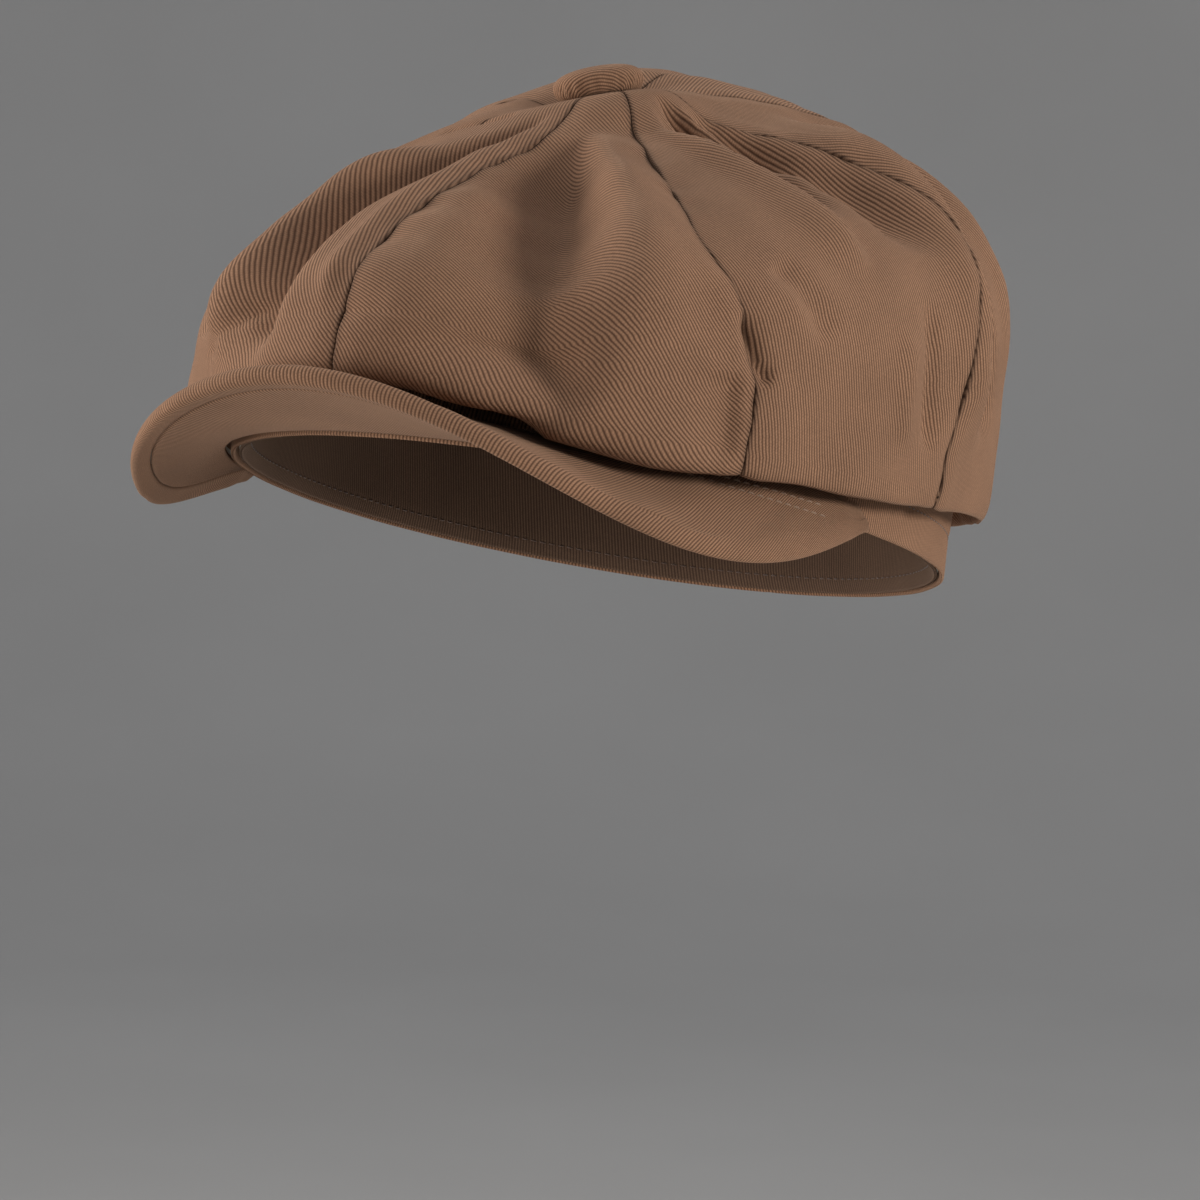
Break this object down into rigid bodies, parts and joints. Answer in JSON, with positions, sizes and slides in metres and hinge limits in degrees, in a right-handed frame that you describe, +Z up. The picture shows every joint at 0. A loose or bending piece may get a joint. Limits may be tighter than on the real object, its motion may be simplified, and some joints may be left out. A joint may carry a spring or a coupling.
{
  "type": "newsboy cap",
  "caption": "Soft full-crowned cap: gored twill crown gathered under a covered button, overhanging a headband, with an arched stiff visor, for wearing on the head.",
  "frame": {"origin": "centre of the head opening, in the plane of the headband's lower edge", "axes": "+Z up as the cap is worn, -Y forward over the visor, +X to the wearer's left; the headband is tilted back by 15.5 degrees in this frame, as on the head"},
  "size_m": [0.1853, 0.2631, 0.1375],
  "materials": {
    "twill": "brown cotton twill, matt, diagonal rib",
    "lining": "smooth woven lining, dark brown, low sheen",
    "sweatband": "fine brown cotton, matt",
    "interlining": "buckram, natural",
    "visor_board": "flexible polyethylene peak board",
    "tin": "tinned steel"
  },
  "bodies": {
    "cap": {"crown_gore_back_right": "twill", "crown_gore_side_back_right": "twill", "crown_gore_side_front_right": "twill", "crown_gore_front_right": "twill", "crown_gore_front_left": "twill", "crown_gore_side_front_left": "twill", "crown_gore_side_back_left": "twill", "crown_gore_back_left": "twill", "lining_gore_back_right": "lining", "lining_gore_side_back_right": "lining", "lining_gore_side_front_right": "lining", "lining_gore_front_right": "lining", "lining_gore_front_left": "lining", "lining_gore_side_front_left": "lining", "lining_gore_side_back_left": "lining", "lining_gore_back_left": "lining", "headband_outer": "twill", "headband_stiffener": "interlining", "sweatband": "sweatband", "button_cover": "twill", "button_shell": "tin", "button_back": "tin"},
    "visor": {"visor_upper_cover": "twill", "visor_board": "visor_board", "visor_lower_cover": "twill"}
  },
  "joints": [
    {"name": "visor_flex", "type": "hinge", "parent": "cap", "child": "visor", "pos_m": [0, -0.02117, 0.00587], "axis": [1, 0, 0], "range_deg": [0, 10], "stiffness_Nm_per_rad": 1.5, "springref_deg": -2.29}
  ]
}
